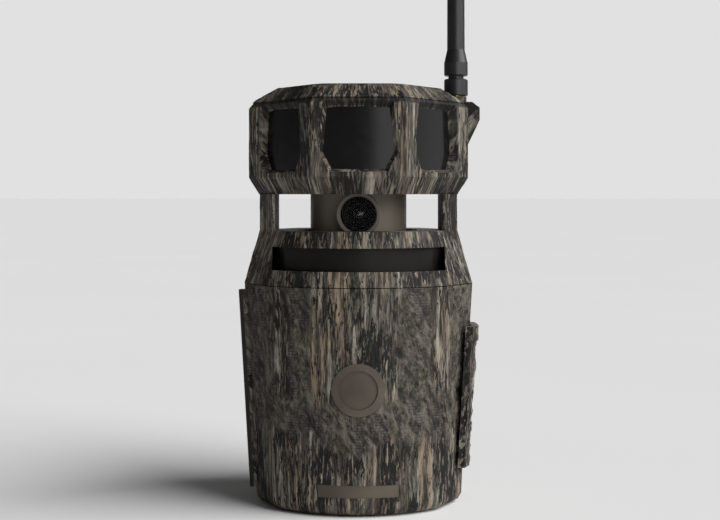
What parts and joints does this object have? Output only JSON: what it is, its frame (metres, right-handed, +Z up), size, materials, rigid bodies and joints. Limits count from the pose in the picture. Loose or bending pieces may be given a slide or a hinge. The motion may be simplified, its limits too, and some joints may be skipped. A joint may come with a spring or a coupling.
{
  "type": "trail camera",
  "caption": "Camouflaged wildlife camera with a six-window infrared head on two posts, a revolving lens turret, a curved hinged door and a side aerial.",
  "frame": {"origin": "mouth of the tripod thread, in the plane of the flat base", "axes": "+Z up along the turret axis, -Y towards the front with the lens and the door, +X to the viewer's right, where the aerial and the latch are"},
  "size_m": [0.1251, 0.111, 0.386],
  "materials": {
    "bark_shell": "dark matt bark camouflage, moulded relief",
    "head_plastic": "dark matt bark camouflage",
    "plain_brown": "plain brown-tan moulding",
    "tan_trim": "plain tan moulding",
    "smoked_window": "smoked, infrared-clear",
    "black_gloss": "black, glossy",
    "black_plastic": "black, satin",
    "clear_glass": "dark coated glass",
    "rubber_seal": "soft seal",
    "steel": "plain steel",
    "brass": "turned brass",
    "board_green": "circuit board",
    "chip_black": "chip packages",
    "shield_tin": "tinned shield",
    "grey_nylon": "nylon gears and bushes",
    "cell_wrap": "battery cells, plain dark wrap",
    "key_grey": "soft keys"
  },
  "bodies": {
    "case": {"aerial_jack": "brass", "battery_cells": "cell_wrap", "battery_springs": "steel", "battery_tray": "black_plastic", "board_chips": "chip_black", "bracket_screws": "steel", "card_socket": "steel", "case_screws": "steel", "cellular_modem": "shield_tin", "contact_plate": "shield_tin", "control_panel": "black_plastic", "display_glass": "clear_glass", "display_module": "chip_black", "door_seal": "rubber_seal", "drive_plate": "grey_nylon", "head_cap": "head_plastic", "head_shell": "head_plastic", "hinge_pin": "steel", "infrared_lamps": "clear_glass", "ir_windows": "smoked_window", "lamp_boards": "board_green", "lamp_carrier": "black_plastic", "latch_pin": "steel", "lower_bush": "grey_nylon", "main_board": "board_green", "middle_frame": "bark_shell", "motion_lens_front": "black_gloss", "motion_lens_rear": "black_gloss", "motion_sensors": "shield_tin", "post_screws": "steel", "power_socket": "black_plastic", "rear_housing": "bark_shell", "rear_insert": "brass", "sensor_ring_board": "board_green", "tree_bracket": "black_plastic", "tripod_insert": "brass", "turret_motor": "steel", "upper_bush": "grey_nylon"},
    "turret": {"turret_drum": "plain_brown", "turret_lid": "plain_brown", "lens_bezel": "black_gloss", "lens_cover_glass": "clear_glass", "lens_element": "clear_glass", "camera_module": "black_plastic", "turret_gear": "grey_nylon"},
    "pinion": {"drive_pinion": "grey_nylon"},
    "door": {"front_door": "bark_shell", "door_badge": "tan_trim", "name_plate": "tan_trim"},
    "latch": {"side_latch": "bark_shell"},
    "collar": {"aerial_collar": "black_plastic"},
    "whip": {"aerial_whip": "black_plastic"},
    "ok_key": {"key_ok": "key_grey"},
    "up_key": {"key_up": "key_grey"},
    "down_key": {"key_down": "key_grey"},
    "left_key": {"key_left": "key_grey"},
    "right_key": {"key_right": "key_grey"},
    "switch": {"mode_switch": "grey_nylon"},
    "card": {"memory_card": "chip_black"},
    "plug": {"power_plug": "rubber_seal"}
  },
  "joints": [
    {"name": "turret_spin", "type": "hinge", "parent": "case", "child": "turret", "pos_m": [0, 0, 0.1473], "axis": [0, 0, 1], "continuous": true},
    {"name": "pinion_spin", "type": "hinge", "parent": "case", "child": "pinion", "pos_m": [0, 0.0245, 0.12], "axis": [0, 0, 1], "continuous": true},
    {"name": "door_swing", "type": "hinge", "parent": "case", "child": "door", "pos_m": [-0.0523, -0.012, 0], "axis": [0.0579, 0, -0.9983], "range_deg": [0, 110]},
    {"name": "latch_swing", "type": "hinge", "parent": "case", "child": "latch", "pos_m": [0.0549, 0.01, -0.00017], "axis": [0.0579, 0, 0.9983], "range_deg": [0, 100]},
    {"name": "collar_turn", "type": "hinge", "parent": "case", "child": "collar", "pos_m": [0.052, 0.015, 0.214], "axis": [0, 0, 1], "continuous": true},
    {"name": "whip_turn", "type": "hinge", "parent": "case", "child": "whip", "pos_m": [0.052, 0.015, 0.22], "axis": [0, 0, 1], "continuous": true},
    {"name": "mode_slide", "type": "slide", "parent": "case", "child": "switch", "axis": [1, 0, 0], "range_m": [-0.003, 0.003]},
    {"name": "card_slide", "type": "slide", "parent": "case", "child": "card", "axis": [0, -1, 0], "range_m": [0, 0.01]},
    {"name": "plug_pull", "type": "slide", "parent": "case", "child": "plug", "axis": [0, 1, 0], "range_m": [0, 0.008]},
    {"name": "ok_press", "type": "slide", "parent": "case", "child": "ok_key", "axis": [0, 1, 0], "range_m": [0, 0.0008], "stiffness_N_per_m": 600},
    {"name": "up_press", "type": "slide", "parent": "case", "child": "up_key", "axis": [0, 1, 0], "range_m": [0, 0.0008], "stiffness_N_per_m": 600},
    {"name": "down_press", "type": "slide", "parent": "case", "child": "down_key", "axis": [0, 1, 0], "range_m": [0, 0.0008], "stiffness_N_per_m": 600},
    {"name": "left_press", "type": "slide", "parent": "case", "child": "left_key", "axis": [0, 1, 0], "range_m": [0, 0.0008], "stiffness_N_per_m": 600},
    {"name": "right_press", "type": "slide", "parent": "case", "child": "right_key", "axis": [0, 1, 0], "range_m": [0, 0.0008], "stiffness_N_per_m": 600}
  ],
  "couplings": [
    {"joint": "pinion_spin", "follows": "turret_spin", "ratio": -4}
  ]
}
